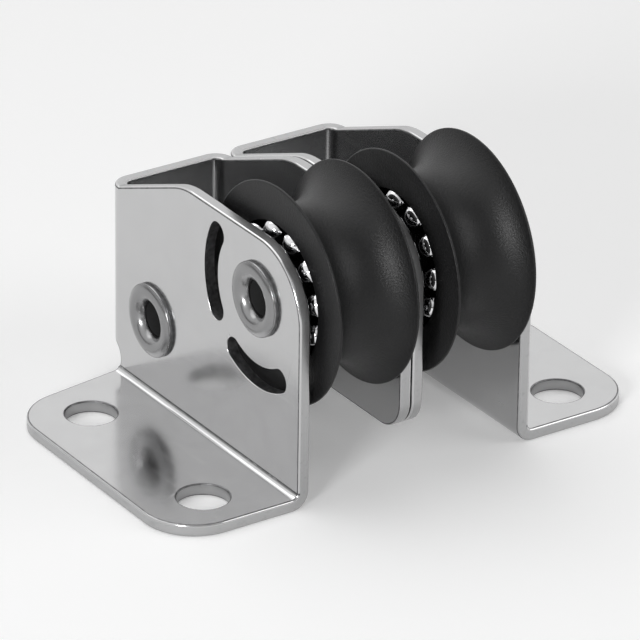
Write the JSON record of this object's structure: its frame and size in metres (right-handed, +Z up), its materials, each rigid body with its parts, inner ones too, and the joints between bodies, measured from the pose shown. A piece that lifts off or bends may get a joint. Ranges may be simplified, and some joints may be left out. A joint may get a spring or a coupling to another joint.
{
  "type": "double stand-up block",
  "caption": "Side-by-side stand-up block of folded stainless sheet with flanged feet and open ball-bearing sheaves, bolted to a deck to lead control lines.",
  "frame": {"origin": "centre of the four deck holes, in the plane of the underside of the feet", "axes": "+Z up from the deck, +X along the axle to the right as seen from the open front, -Y out of the open front"},
  "size_m": [0.0736, 0.0515, 0.0413],
  "materials": {
    "frame_steel": "polished stainless sheet with tumbled edges",
    "rivet_steel": "bright rolled tube",
    "sleeve_steel": "turned",
    "sheave_plastic": "moulded, fine matt grain",
    "race_plastic": "smooth and glossy",
    "ball_steel": "mirror polished"
  },
  "bodies": {
    "frame": {"left_frame": "frame_steel", "right_frame": "frame_steel", "axle_tube": "rivet_steel", "rear_tube": "rivet_steel", "left_axle_sleeve": "sleeve_steel", "right_axle_sleeve": "sleeve_steel", "left_rear_spacer": "sleeve_steel", "right_rear_spacer": "sleeve_steel", "left_outer_race": "race_plastic", "left_inner_race": "race_plastic", "right_outer_race": "race_plastic", "right_inner_race": "race_plastic"},
    "left_sheave": {"left_sheave": "sheave_plastic"},
    "left_balls": {"left_outer_balls": "ball_steel", "left_inner_balls": "ball_steel"},
    "right_sheave": {"right_sheave": "sheave_plastic"},
    "right_balls": {"right_outer_balls": "ball_steel", "right_inner_balls": "ball_steel"}
  },
  "joints": [
    {"name": "left_sheave_spin", "type": "hinge", "parent": "frame", "child": "left_sheave", "pos_m": [-0.00912, -0.01085, 0.0263], "axis": [1, 0, 0], "continuous": true},
    {"name": "left_balls_orbit", "type": "hinge", "parent": "frame", "child": "left_balls", "pos_m": [-0.00912, -0.01085, 0.0263], "axis": [1, 0, 0], "continuous": true},
    {"name": "right_sheave_spin", "type": "hinge", "parent": "frame", "child": "right_sheave", "pos_m": [0.00912, -0.01085, 0.0263], "axis": [1, 0, 0], "continuous": true},
    {"name": "right_balls_orbit", "type": "hinge", "parent": "frame", "child": "right_balls", "pos_m": [0.00912, -0.01085, 0.0263], "axis": [1, 0, 0], "continuous": true}
  ],
  "couplings": [
    {"joint": "left_balls_orbit", "follows": "left_sheave_spin", "ratio": 0.6012},
    {"joint": "right_balls_orbit", "follows": "right_sheave_spin", "ratio": 0.6012}
  ]
}
